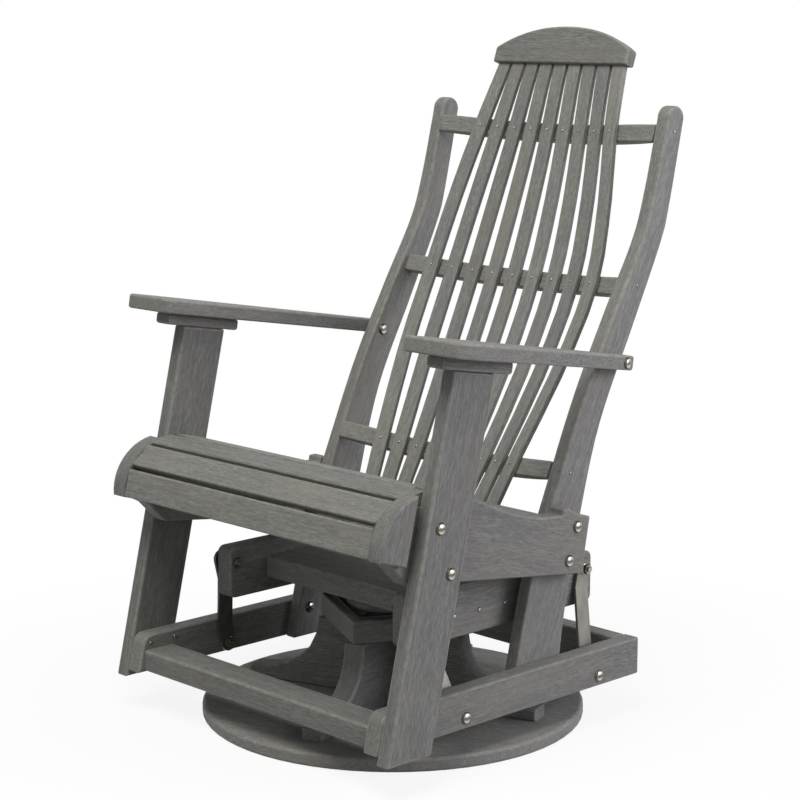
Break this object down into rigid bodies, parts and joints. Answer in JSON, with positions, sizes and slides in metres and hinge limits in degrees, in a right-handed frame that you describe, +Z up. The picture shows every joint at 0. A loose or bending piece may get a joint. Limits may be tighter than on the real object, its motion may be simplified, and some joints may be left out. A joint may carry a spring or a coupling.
{
  "type": "outdoor swivel glider armchair",
  "caption": "Slatted outdoor armchair of grey lumber that glides on flat steel links hung from a swivel frame on a round pedestal base.",
  "frame": {"origin": "middle of the floor disc's underside, on the swivel axis", "axes": "+Z up, the sitter faces -Y, +X is the sitter's left"},
  "size_m": [0.776, 0.7718, 1.1337],
  "materials": {
    "lumber": "weathered grey recycled-plastic lumber with fine wood grain along each board, matte, eased edges",
    "steel": "satin stainless flat bar, bolts and plates, brushed along their length"
  },
  "bodies": {
    "base": {"floor_disc": "lumber", "cross_board_a": "lumber", "cross_board_b": "lumber", "pedestal_top_board": "lumber", "lower_swivel_plate": "steel"},
    "swivel_frame": {"upper_swivel_plate": "steel", "swivel_rail_left": "lumber", "swivel_rail_right": "lumber", "swivel_cross_board_front": "lumber", "swivel_cross_board_rear": "lumber", "upper_pivot_front_left": "steel", "upper_pivot_front_right": "steel", "upper_pivot_rear_left": "steel", "upper_pivot_rear_right": "steel"},
    "front_links": {"front_link_left": "steel", "front_link_right": "steel"},
    "rear_links": {"rear_link_left": "steel", "rear_link_right": "steel"},
    "chair": {"lower_pivot_left": "steel", "lower_pivot_right": "steel", "lower_rail_left": "lumber", "lower_rail_right": "lumber", "front_cross_rail": "lumber", "rear_cross_rail": "lumber", "front_leg_left": "lumber", "front_leg_right": "lumber", "back_leg_left": "lumber", "back_leg_right": "lumber", "seat_side_left": "lumber", "seat_side_right": "lumber", "seat_cap_left": "lumber", "seat_cap_right": "lumber", "seat_slat_1": "lumber", "seat_slat_2": "lumber", "seat_slat_3": "lumber", "seat_slat_4": "lumber", "seat_slat_5": "lumber", "seat_slat_6": "lumber", "seat_slat_7": "lumber", "seat_slat_8": "lumber", "back_cross_slat_1": "lumber", "back_cross_slat_2": "lumber", "back_cross_slat_3": "lumber", "back_slat_1": "lumber", "back_slat_2": "lumber", "back_slat_3": "lumber", "back_slat_4": "lumber", "back_slat_5": "lumber", "back_slat_6": "lumber", "back_slat_7": "lumber", "back_slat_8": "lumber", "back_slat_9": "lumber", "crest_board": "lumber", "arm_block_left": "lumber", "arm_block_right": "lumber", "arm_left": "lumber", "arm_right": "lumber"}
  },
  "joints": [
    {"name": "swivel", "type": "hinge", "parent": "base", "child": "swivel_frame", "pos_m": [0, 0, 0.1975], "axis": [0, 0, 1], "continuous": true},
    {"name": "front_link_swing", "type": "hinge", "parent": "swivel_frame", "child": "front_links", "pos_m": [0, -0.176, 0.2485], "axis": [1, 0, 0], "range_deg": [-12, 12]},
    {"name": "rear_link_swing", "type": "hinge", "parent": "swivel_frame", "child": "rear_links", "pos_m": [0, 0.214, 0.2485], "axis": [1, 0, 0], "range_deg": [-12, 12]},
    {"name": "chair_rock", "type": "hinge", "parent": "front_links", "child": "chair", "pos_m": [0, -0.13704, 0.08745], "axis": [1, 0, 0], "range_deg": [-15, 15]}
  ],
  "couplings": [
    {"joint": "rear_link_swing", "follows": "front_link_swing", "ratio": 0.9989},
    {"joint": "chair_rock", "follows": "front_link_swing", "ratio": -1.2474}
  ]
}
